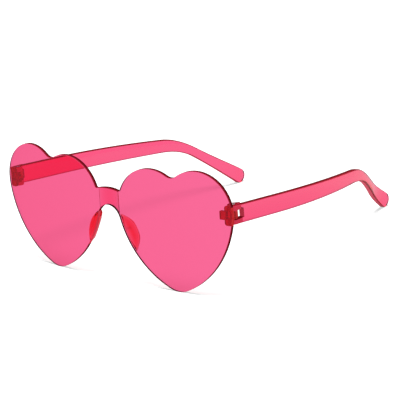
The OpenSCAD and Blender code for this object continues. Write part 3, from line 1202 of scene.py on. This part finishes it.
@dataclass
class Hinge:
    """The sizes that an end piece, a temple and a screw share.

    Attributes:
        shield: the front that carries it.
        height: height of its middle.
        inset: distance from the front's outer edge to the axis.
        behind: distance from the sheet's back to the axis.
        knuckle_r: radius of the knuckle and of the ears.
        hinge_h: height over both ears, and of the end piece's plate.
        tongue_h: height of the knuckle between the ears, and of the tab.
        neck_w: width of the neck between the plate and the knuckle.
        slot_l: how far the fork's slot reaches behind the axis.
        tab_w: how far the tab stands inward from the plate.
        screw_r: radius of the bore in the ears.
        head_r: radius of the seat of the screw's head.
        head_h: height of the head.
        slot_w: width of the driver slot.
        screw_clearance: how much larger the radius of the knuckle's bore is.
        ear_clearance: gap between the knuckle and each ear.
        stop_clearance: gap between the knuckle and the plate.
        bond: gap between the sheet and the plate.
        lip: how far the plate's inner edge lies outward from the knuckle's inner side.
        margin: distance from the front's outer edge to the plate.
        plate_corner_r: radius of the plate's corners.
        tab_corner_r: radius of the tab's corners.
        edge_r: radius of the eased edges.
        sides: points in a turn of a round part.
    """

    shield: LensShield
    height: float = 39.8
    inset: float = 3.0
    behind: float = 3.3
    knuckle_r: float = 2.1
    hinge_h: float = 9.3
    tongue_h: float = 4.1
    neck_w: float = 3.8
    slot_l: float = 3.9
    tab_w: float = 2.6
    screw_r: float = 0.7
    head_r: float = 1.2
    head_h: float = 0.7
    slot_w: float = 0.3
    screw_clearance: float = 0.05
    ear_clearance: float = 0.1
    stop_clearance: float = 0.3
    bond: float = 0.04
    lip: float = 0.3
    margin: float = 0.7
    plate_corner_r: float = 1.2
    tab_corner_r: float = 0.4
    edge_r: float = 0.12
    sides: int = 64

    @property
    def x(self) -> float:
        """Where the axis stands, across."""
        return self.shield.front_w / 2 - self.inset

    @property
    def y(self) -> float:
        """Where the axis stands, from front to back."""
        return float(self.shield.back(self.x, self.height)) + self.behind

    @property
    def top(self) -> float:
        """The height of the upper ear's top."""
        return self.height + self.hinge_h / 2

    def eased(self, low: float, high: float) -> list[tuple[float, float]]:
        """Gives the levels of an upright part whose rims are eased.

        Args:
            low: height of the part's bottom.
            high: height of its top.

        Returns:
            Each level's height, and how far it is drawn in from the part's side.
        """
        e = self.edge_r
        rim = [(e * (1 - cos(t)), e * (1 - sin(t))) for t in QUARTER]
        return [(low + b, a) for b, a in rim] + [(high - b, a) for b, a in rim[::-1]]

    def turned(self, profile: Profile) -> Skin:
        """Lays a turned solid about the hinge's axis."""
        return turned((self.x, self.y), profile, self.sides)


@dataclass
class EndPiece:
    """The moulding behind the sheet's edge: a plate, a tab and the middle knuckle.

    Attributes:
        hinge: the hinge's sizes.
        ease: how far the faces of the tab and the neck lie inside those that they would share with the plate.
    """

    hinge: Hinge
    ease: float = 0.03

    def bond_plane(self, set_back: float = 0.0) -> Depth:
        """Finds the plane that lies against the sheet at the hinge.

        Args:
            set_back: how far behind the bond it lies.

        Returns:
            A function that gives the plane's depth at x and z.
        """
        h = self.hinge
        s = h.shield
        reach = hypot(h.x, h.height - s.dome_z)
        drop = sqrt((s.dome_r - s.sheet_t) ** 2 - reach**2)
        at = float(s.back(h.x, h.height)) + h.bond * (s.dome_r - s.sheet_t) / drop + set_back
        return lambda x, z: at + (x - h.x) * h.x / drop + (z - h.height) * (h.height - s.dome_z) / drop

    def build(self, side: Side) -> bpy.types.Object:
        """Builds one end piece.

        Args:
            side: the wearer's side.

        Returns:
            A closed mesh.
        """
        h = self.hinge
        plate_y = h.y - h.knuckle_r - h.stop_clearance
        inner, outer = h.x - h.knuckle_r + h.lip, h.shield.front_w / 2 - h.margin
        low, high = h.height - h.tongue_h / 2, h.height + h.tongue_h / 2
        outline = round_rect(((inner + outer) / 2, h.height), outer - inner, h.hinge_h, h.plate_corner_r)
        made = plate(outline, self.bond_plane(), level_face(plate_y), h.edge_r).bake(f"end_block_{side.word}")
        outline = round_rect((inner, h.height), 2 * h.tab_w, h.tongue_h, h.tab_corner_r)
        tab = plate(outline, self.bond_plane(self.ease), level_face(plate_y - self.ease), h.edge_r)
        neck_out = h.x + h.neck_w / 2
        neck_y = float(self.bond_plane()(neck_out, high)) + h.edge_r
        neck = block((h.x - h.neck_w / 2, neck_y, low + self.ease), (neck_out, h.y, high - self.ease))
        knuckle = h.turned([(h.knuckle_r - drawn_in, z) for z, drawn_in in h.eased(low, high)])
        for name, tool in (("tab", tab), ("neck", neck), ("knuckle", knuckle)):
            Workshop.boolean(made, tool.bake(name), Cut.JOIN)
        bore_r = h.screw_r + h.screw_clearance
        bore = h.turned([(bore_r, low - OVERHANG), (bore_r, high + OVERHANG)])
        Workshop.boolean(made, bore.bake("bore"), Cut.REMOVE)
        return Workshop.on_side(made, side)


@dataclass
class Temple:
    """An arm: a forked front end, a straight run, a bow, a bend over the ear and a paddle tip.

    Attributes:
        hinge: the hinge's sizes.
        run_l: length of the straight run.
        bow_r: radius of the bow, seen from above.
        thickness: thickness across.
        edge_r: radius of the long edges.
        slope: how far the arm slopes down before the bend, in degrees.
        bend_l: distance from the axis to the bend.
        hook_l: distance from the start of the bend to the round end.
        bend_r: radius of the bend, seen from the side.
        tuck_l: length of the inward tuck, seen from above.
        tuck_r: its radius.
        splay_r: radius of the outward turn behind the tuck.
        height: height of the section at the axis.
        mid_h: its height halfway to the bend.
        bend_h: its height where the bend starts.
        neck_h: its height where the bend ends.
        paddle_h: its height at the round end.
        tip_reach: how far the round end reaches, as a share of a true half circle.
        tip_spokes: sections round the end.
        ring_step: longest distance between two sections.
        corner_steps: steps in the round of a long edge.
        ear_points: points round an ear.
        fork_l: how far behind the axis the fork's painted light and shade ends.
        rim_turn: how far sideways a side looks where it counts as clear.
    """

    hinge: Hinge
    run_l: float = 29.0
    bow_r: float = 280.0
    thickness: float = 2.8
    edge_r: float = 0.8
    slope: float = 6.0
    bend_l: float = 96.0
    hook_l: float = 45.5
    bend_r: float = 41.0
    tuck_l: float = 30.0
    tuck_r: float = 150.0
    splay_r: float = 44.0
    height: float = 8.9
    mid_h: float = 8.5
    bend_h: float = 6.8
    neck_h: float = 5.0
    paddle_h: float = 7.6
    tip_reach: float = 0.98
    tip_spokes: int = 33
    ring_step: float = 1.0
    corner_steps: int = 8
    ear_points: int = 72
    fork_l: float = 2.6
    rim_turn: float = 0.85

    def __post_init__(self) -> None:
        """Works out the path's derived places."""
        self.length = self.bend_l + self.hook_l
        self.x = self.hinge.shield.front_w / 2 - self.thickness / 2
        a = radians(self.slope)
        self.bend_z = self.hinge.height - self.bend_l * tan(a)
        reach = self.hook_l + self.bend_r * sin(a)
        rise = self.bend_r * cos(a) - self.bend_z + self.paddle_h / 2
        self.hook = asin(self.bend_r / hypot(reach, rise)) - atan2(rise, reach)
        self.bend_end = self.bend_l + self.bend_r * (sin(self.hook) - sin(a))
        self.bend_end_z = self.bend_z - self.bend_r * (cos(a) - cos(self.hook))
        self.tip_y = self.point(self.length)[1]

    def plan(self, s: float) -> tuple[float, float, float]:
        """Follows the temple in plan.

        Args:
            s: distance from the hinge along the path.

        Returns:
            x, y and the inward turn, in radians.
        """
        x, y, turn = self.x, self.hinge.y + min(s, self.run_l), 0.0
        tuck_end = self.bend_l + self.tuck_l
        bow, tuck = (self.run_l, self.bend_l, self.bow_r), (self.bend_l, tuck_end, self.tuck_r)
        for start, end, r in (bow, tuck, (tuck_end, s, -self.splay_r)):
            if s > start:
                on = turn + (min(s, end) - start) / r
                x, y, turn = x + r * (cos(on) - cos(turn)), y + r * (sin(on) - sin(turn)), on
        return x, y, turn

    def slope_at(self, s: float) -> float:
        """Gives the downward slope.

        Args:
            s: distance from the hinge along the path.

        Returns:
            The slope, in radians.
        """
        if s < self.bend_l:
            return radians(self.slope)
        if s > self.bend_end:
            return self.hook
        return asin(sin(radians(self.slope)) + (s - self.bend_l) / self.bend_r)

    def point(self, s: float) -> np.ndarray:
        """Gives the middle of the section.

        Args:
            s: distance from the hinge along the path.

        Returns:
            x, y and z.
        """
        if s < self.bend_l:
            z = self.hinge.height - s * tan(radians(self.slope))
        elif s > self.bend_end:
            z = self.bend_end_z - (s - self.bend_end) * tan(self.hook)
        else:
            z = self.bend_z - self.bend_r * (cos(radians(self.slope)) - cos(self.slope_at(s)))
        x, y, _ = self.plan(s)
        return np.array([x, y, z])

    def section_h(self, s: float) -> float:
        """Gives the section's height, on a smooth curve through the named heights.

        Args:
            s: distance from the hinge along the path.

        Returns:
            The height.
        """
        at = [0.0, self.bend_l / 2, self.bend_l, self.bend_end, self.length]
        high = [self.height, self.mid_h, self.bend_h, self.neck_h, self.paddle_h]
        last = len(at) - 1
        tilt = []
        for i in range(last + 1):
            before, after = max(i - 1, 0), min(i + 1, last)
            tilt.append((high[after] - high[before]) / (at[after] - at[before]))
        i = max(k for k in range(last) if k == 0 or at[k] <= s)
        w = at[i + 1] - at[i]
        u = min(1.0, max(0.0, (s - at[i]) / w))
        return (
            high[i] * (2 * u**3 - 3 * u * u + 1)
            + high[i + 1] * (3 * u * u - 2 * u**3)
            + w * (tilt[i] * (u**3 - 2 * u * u + u) + tilt[i + 1] * (u**3 - u * u))
        )

    def axes(self, s: float) -> tuple[np.ndarray, np.ndarray]:
        """Gives the way that the section stands.

        Args:
            s: distance from the hinge along the path.

        Returns:
            Its outward and its upward way.
        """
        t, a = self.plan(s)[2], self.slope_at(s)
        side = np.array([cos(t), sin(t), 0.0])
        along = np.array([-sin(t), cos(t), 0.0])
        lift = np.array([0.0, 0.0, 1.0])
        return side, along * sin(a) + lift * cos(a)

    def half_profile(self, h: float) -> list[tuple[float, float]]:
        """Gives the upper half of a section.

        Args:
            h: the section's height.

        Returns:
            Points across and up, from its outer side over the top to its inner side.
        """
        r, t = self.edge_r, self.thickness / 2
        turns = np.linspace(0, pi / 2, self.corner_steps + 1)
        rim = [(t - r + r * cos(a), h / 2 - r + r * sin(a)) for a in turns]
        return [(t, 0.0)] + rim + [(-x, z) for x, z in rim[::-1]] + [(-t, 0.0)]

    def sweep(self) -> Skin:
        """Lays the temple's body and its round tip.

        Returns:
            The closed faces, before the hinge is cut.
        """
        skin = Skin()
        start = -self.hinge.knuckle_r - self.height * tan(radians(self.slope))
        count = ceil((self.length - start) / self.ring_step)
        rows = []
        for k in range(count + 1):
            s = start + (self.length - start) * k / count
            side, up = self.axes(s)
            half = self.half_profile(self.section_h(s))
            ring = half + [(x, -z) for x, z in half[-2:0:-1]]
            rows.append([self.point(s) + side * x + up * z for x, z in ring])
        skin.grid(np.array(rows), closed=True)
        skin.cap(np.array(rows[0]))
        half = self.half_profile(self.paddle_h)
        spokes = []
        for a in np.linspace(-pi / 2, pi / 2, self.tip_spokes):
            spoke = []
            for x, z in half:
                s = self.length + z * cos(a) * cos(self.hook) * self.tip_reach
                side, up = self.axes(s)
                spoke.append(self.point(s) + side * x + up * z * sin(a))
            spokes.append(spoke)
        skin.grid(np.array(spokes))
        return skin

    def ears(self) -> Skin:
        """Lays the round ears, which run back into the temple's inner side.

        Returns:
            One closed solid over the height of both ears, before the slot is cut.
        """
        h = self.hinge
        root = np.array([self.x - self.thickness / 2 - h.x + self.edge_r, h.slot_l])
        touch = atan2(root[1], root[0]) + np.arccos(h.knuckle_r / np.linalg.norm(root))
        t = np.linspace(touch, 2 * pi, self.ear_points)
        outline = np.concatenate([h.knuckle_r * np.stack([np.cos(t), np.sin(t)], axis=1), [root]])
        rows = []
        for z, drawn_in in h.eased(h.height - h.hinge_h / 2, h.top):
            flat = outline * (1 - drawn_in / h.knuckle_r)
            rows.append([(h.x + px, h.y + py, z) for px, py in flat])
        skin = Skin()
        skin.tube(rows)
        return skin

    def build(self, side: Side) -> bpy.types.Object:
        """Builds one temple.

        Args:
            side: the wearer's side.

        Returns:
            A closed mesh with its fork, its bore and the seat of the screw's head.
        """
        h = self.hinge
        made = self.sweep().bake(f"arm_{side.word}")
        Workshop.boolean(made, self.ears().bake("ears"), Cut.JOIN)
        x0, x1 = h.x - h.knuckle_r - OVERHANG, h.x + h.inset + OVERHANG
        low, high = h.height - h.hinge_h, h.height + h.hinge_h
        half = (h.tongue_h + 2 * h.ear_clearance) / 2
        tools = {
            "slot": block((x0, h.y - h.hinge_h, h.height - half), (x1, h.y + h.slot_l, h.height + half)),
            "front_cut": block((x0, h.y - 2 * h.hinge_h, low), (x1, h.y - h.knuckle_r, high)),
            "bore": h.turned([(h.screw_r, low), (h.screw_r, high)]),
            "seat": h.turned([(h.head_r, h.top - h.head_h), (h.head_r, h.top + h.head_h)]),
        }
        for name, tool in tools.items():
            Workshop.boolean(made, tool.bake(name), Cut.REMOVE)
        return Workshop.on_side(made, side)

    def area_of(self, face: bpy.types.MeshPolygon) -> Area:
        """Tells which area a face of the temple belongs to.

        Args:
            face: the face.

        Returns:
            Its area: the clear ones are the broad sides and the round end.
        """
        y = face.center.y / MM
        if y < self.hinge.y + self.fork_l:
            return Area.FORK
        return Area.CLEAR if y > self.tip_y or abs(face.normal.x) > self.rim_turn else Area.RIM

    def dress(self, temple: bpy.types.Object, looks: dict[Area, bpy.types.Material]) -> None:
        """Gives a temple the materials of its areas."""
        Workshop.dress(temple, looks, self.area_of)


@dataclass
class HingeScrew:
    """A slotted screw with a fine thread in the lower ear.

    Attributes:
        hinge: the hinge's sizes.
        pitch: the thread's rise in a turn.
        thread_depth: its depth.
        thread_l: its length.
        thread_start: the share of its depth that it has at the screw's end.
        turn_rows: rows of points in a turn of the thread.
        play: gap between the screw and its bore and seat.
        chamfer: width of the head's chamfer.
    """

    hinge: Hinge
    pitch: float = 0.3
    thread_depth: float = 0.09
    thread_l: float = 2.4
    thread_start: float = 0.4
    turn_rows: int = 10
    play: float = 0.01
    chamfer: float = 0.1

    def thread(self, low: float) -> list[tuple[np.ndarray, float]]:
        """Gives the profile of the threaded end.

        Args:
            low: height of the screw's end.

        Returns:
            The radius at each side and the height, row by row.
        """
        h = self.hinge
        top = low + self.thread_l
        turns = np.arange(h.sides) / h.sides
        rows = []
        for z in [*np.arange(low, top, self.pitch / self.turn_rows), top]:
            fade_in = min(1.0, self.thread_start + (z - low) / self.pitch)
            fade_out = min(1.0, max(0.0, (top - z) / self.pitch))
            phase = ((z - low) / self.pitch - turns) % 1.0
            cut = self.thread_depth * np.abs(2 * phase - 1) * fade_out * fade_in
            rows.append((h.screw_r - self.play - cut, z))
        return rows

    def build(self, side: Side) -> bpy.types.Object:
        """Builds one screw.

        Args:
            side: the wearer's side.

        Returns:
            A closed mesh.
        """
        h = self.hinge
        seat, head_r = h.top - h.head_h, h.head_r - self.play
        shank = self.thread(h.height - h.hinge_h / 2) + [(h.screw_r - self.play, seat)]
        head = [(head_r, seat), (head_r, h.top - self.chamfer), (head_r - self.chamfer, h.top)]
        made = h.turned(shank + head).bake(f"screw_{side.word}")
        w, reach = h.slot_w / 2, h.knuckle_r
        slot = block((h.x - w, h.y - reach, h.top - h.head_h / 2), (h.x + w, h.y + reach, h.top + h.head_h))
        Workshop.boolean(made, slot.bake("driver_slot"), Cut.REMOVE)
        return Workshop.on_side(made, side)


@dataclass
class Studio:
    """The pale floor, the soft light and the camera at the photograph's angle.

    Attributes:
        azimuth: the camera's way round the object, in degrees.
        elevation: the camera's height above the horizon, in degrees.
        distance: from the aim point to the camera.
        roll: the camera's tilt about its own axis, in degrees.
        aim: the point in the middle of the picture.
        focal_px: the focal length in pixels of the picture.
        picture_px: the picture's width in pixels.
        sensor: the sensor's width.
        seen: the nearest and the farthest distance that the camera shows, in metres.
        floor_half: half the floor's width.
        floor_white: brightness of the floor as the object is lit by it.
        floor_seen: its brightness in the picture.
        floor_through: its brightness seen through clear plastic.
        glow_seen: the share of its own glow in the picture.
        glow_through: that share seen through clear plastic.
        floor_mirrored: its brightness in a glossy surface, in front of the object.
        floor_mirrored_behind: the same behind the object.
        front_of_glow: depth where that brightness starts to rise.
        back_of_glow: depth where it has risen.
        sky_mirrored: brightness of the sky in a glossy surface.
        fill: strength of the light that the sky gives.
        key_place: where the lamp hangs.
        key_side: the lamp's width.
        key_watts: the lamp's power.
    """

    azimuth: float = 42.112
    elevation: float = 17.143
    distance: float = 1029.1
    roll: float = -4.765
    aim: Point = (23.30, -37.95, 31.85)
    focal_px: float = 2178.4
    picture_px: float = 400.0
    sensor: float = 36.0
    seen: tuple[float, float] = (0.05, 50.0)
    floor_half: float = 6000.0
    floor_white: float = 0.8
    floor_seen: float = 1.62
    floor_through: float = 1.1
    glow_seen: float = 0.1
    glow_through: float = 0.55
    floor_mirrored: float = 0.15
    floor_mirrored_behind: float = 0.95
    front_of_glow: float = 0.0
    back_of_glow: float = 120.0
    sky_mirrored: float = 0.47
    fill: float = 0.45
    key_place: Point = (200.0, -250.0, 3000.0)
    key_side: float = 1600.0
    key_watts: float = 56.0

    def camera(self) -> None:
        """Places the camera."""
        a, e, roll = radians(self.azimuth), radians(self.elevation), radians(self.roll)
        back = Vector((sin(a) * cos(e), -cos(a) * cos(e), sin(e)))
        right = Vector((cos(a), sin(a), 0.0))
        up = back.cross(right)
        across = right * cos(roll) + up * sin(roll)
        upright = up * cos(roll) - right * sin(roll)
        data = bpy.data.cameras.new("camera")
        data.sensor_width = self.sensor
        data.lens = self.focal_px * self.sensor / self.picture_px
        data.clip_start, data.clip_end = self.seen
        made = bpy.data.objects.new("camera", data)
        bpy.context.scene.collection.objects.link(made)
        place = (Vector(self.aim) + back * self.distance) * MM
        turned_to = Matrix((across, upright, back)).transposed().to_4x4()
        made.matrix_world = Matrix.Translation(place) @ turned_to
        bpy.context.scene.camera = made

    def floor(self) -> None:
        """Lays the white floor, which keeps a soft shadow and is mirrored dimly."""
        d = self.floor_half
        skin = Skin()
        skin.cap(np.array([(-d, -d, 0), (d, -d, 0), (d, d, 0), (-d, d, 0)]))
        made = skin.bake("floor")
        look = bpy.data.materials.new("floor")
        w = Wiring(look)
        ray = w.node("ShaderNodeLightPath").outputs
        rise = (self.front_of_glow * MM, self.back_of_glow * MM)
        mirrored = w.mapped(w.part("Object", "Y"), rise, (self.floor_mirrored, self.floor_mirrored_behind))
        white = w.blend(ray["Is Glossy Ray"], self.floor_white, mirrored)
        white = w.blend(ray["Is Transmission Ray"], white, self.floor_through)
        white = w.blend(ray["Is Camera Ray"], white, self.floor_seen)
        share = w.blend(ray["Is Transmission Ray"], 0.0, self.glow_through)
        share = w.blend(ray["Is Camera Ray"], share, self.glow_seen)
        paper = w.node("ShaderNodeBsdfDiffuse", {"Color": white})
        surface = w.node("ShaderNodeMixShader", {0: share, 1: paper, 2: w.node("ShaderNodeEmission")})
        w.node("ShaderNodeOutputMaterial", {"Surface": surface})
        made.data.materials.append(look)

    def light(self) -> None:
        """Sets the world's soft light and the lamp overhead."""
        world = bpy.data.worlds.new("studio")
        bpy.context.scene.world = world
        w = Wiring(world)
        ray = w.node("ShaderNodeLightPath").outputs
        level = w.blend(ray["Is Glossy Ray"], self.fill, self.sky_mirrored)
        level = w.blend(ray["Is Transmission Ray"], level, 1.0)
        level = w.blend(ray["Is Camera Ray"], level, 1.0)
        sky = w.node("ShaderNodeBackground", {"Strength": level})
        w.node("ShaderNodeOutputWorld", {"Surface": sky})
        lamp = bpy.data.lights.new("softbox", "AREA")
        lamp.shape = "SQUARE"
        lamp.size = self.key_side * MM
        lamp.energy = self.key_watts
        made = bpy.data.objects.new("softbox", lamp)
        place = Vector(self.key_place) * MM
        made.matrix_world = Matrix.Translation(place) @ place.to_track_quat("Z", "Y").to_matrix().to_4x4()
        bpy.context.scene.collection.objects.link(made)


def main() -> None:
    """Builds the studio and every piece, and logs each piece's faces and body."""
    logging.basicConfig(level=logging.INFO, format="%(name)s: %(message)s")
    bpy.context.scene.view_settings.view_transform = "Standard"
    studio = Studio()
    studio.camera()
    studio.floor()
    studio.light()

    sheet_look = ClearPlastic("lens_sheet", shade=(0.65, 0.9, 0.9))
    moulding_look = ClearPlastic(
        "moulding",
        tint=(0.78, 0.03, 0.028),
        density=350.0,
        polish=(0.08, 0.15),
        bend=1.3,
        solid=0.4,
        shade=(0.5, 0.6, 0.6),
    )
    temple_look = ClearPlastic(
        "temple_plastic", deep_tint=(0.99, 0.003, 0.27), density=560.0, bend=1.45, shade=(0.5, 0.6, 0.6)
    )
    steel_look = TurnedSteel("screw_steel")
    pad_look = ClearPlastic(
        "pad_plastic",
        tint=(0.99, 0.78, 0.68),
        deep_tint=(0.98, 0.003, 0.22),
        density=560.0,
        bend=1.3,
        shade=(0.5, 0.6, 0.6),
    )
    # Painted shade and light: the arms' narrow sides and forks are dark on top and lighter where they slope
    # or look down.
    fork_look = RimEdge("arm_fork", deep=(0.3, 0.004, 0.01), lit=(1.0, 0.06, 0.13), under=(1.0, 0.06, 0.13))
    looks = (sheet_look, moulding_look, temple_look, steel_look, pad_look, RimEdge("arm_rim"), fork_look)
    sheet, moulding, plastic, steel, pad_plastic, rim, fork = (look.material() for look in looks)

    # The front stands where it brings the hinge's axis to the frame's joint.
    shield = LensShield()
    hinge = Hinge(shield)
    shield.middle_y = frame["joints"][0]["pos_m"][1] / MM - hinge.y

    front = shield.build()
    shield.dress(front, sheet)
    Workshop.finish(front, sheet, "lens_shield", "front", sheet_look.slot)
    nose_pad, end_piece, temple, screw = NosePad(shield), EndPiece(hinge), Temple(hinge), HingeScrew(hinge)
    for side in Side:
        pad = nose_pad.build(side)
        Workshop.finish(pad, pad_plastic, f"nose_pad_{side.word}", "front", moulding_look.slot)
        end = end_piece.build(side)
        Workshop.finish(end, moulding, f"end_piece_{side.word}", "front", moulding_look.slot)
        arm = temple.build(side)
        temple.dress(arm, {Area.CLEAR: plastic, Area.RIM: rim, Area.FORK: fork})
        body = f"temple_{side.word}"
        Workshop.finish(arm, plastic, body, body, temple_look.slot)
        Workshop.finish(screw.build(side), steel, f"hinge_screw_{side.word}", body, steel_look.slot)


if __name__ == "__main__":
    main()
